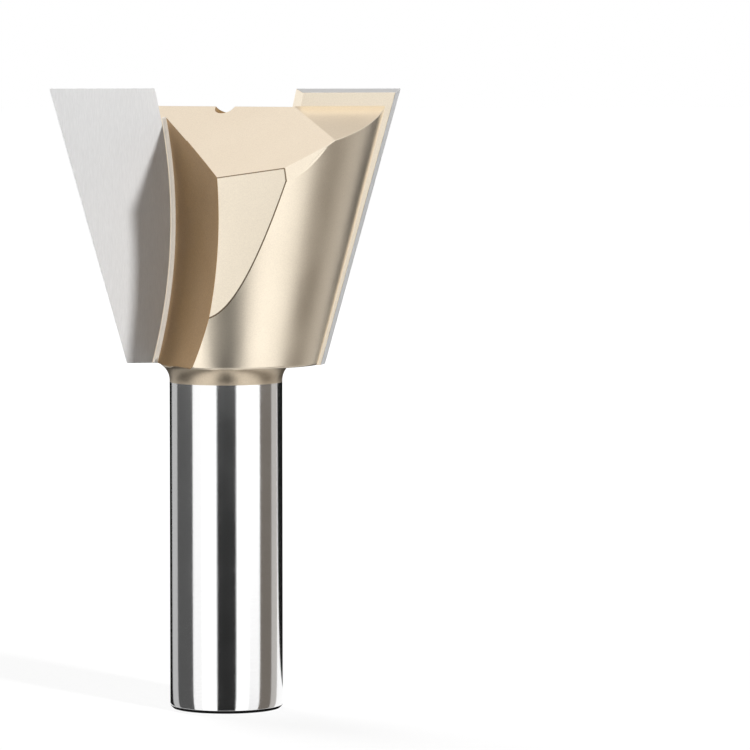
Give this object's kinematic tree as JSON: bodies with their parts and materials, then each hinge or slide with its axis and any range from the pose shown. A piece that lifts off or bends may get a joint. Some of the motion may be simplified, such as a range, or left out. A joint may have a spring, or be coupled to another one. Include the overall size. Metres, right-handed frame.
{
  "type": "dovetail cutter",
  "caption": "Router bit with a straight round shank, a flaring coated head with deep gullets, and slanted brazed carbide tips that cut dovetail grooves.",
  "frame": {"origin": "centre of the shank's end face", "axes": "+Z along the axis from the shank to the cutting end, X along the plane of the two tips"},
  "size_m": [0.0392, 0.0308, 0.07],
  "materials": {
    "body": "satin champagne coat on steel, shank ground bare",
    "tip": "ground tungsten carbide"
  },
  "bodies": {
    "root": {"cutter_body": "body", "carbide_tip_left": "tip", "carbide_tip_right": "tip"}
  },
  "joints": []
}
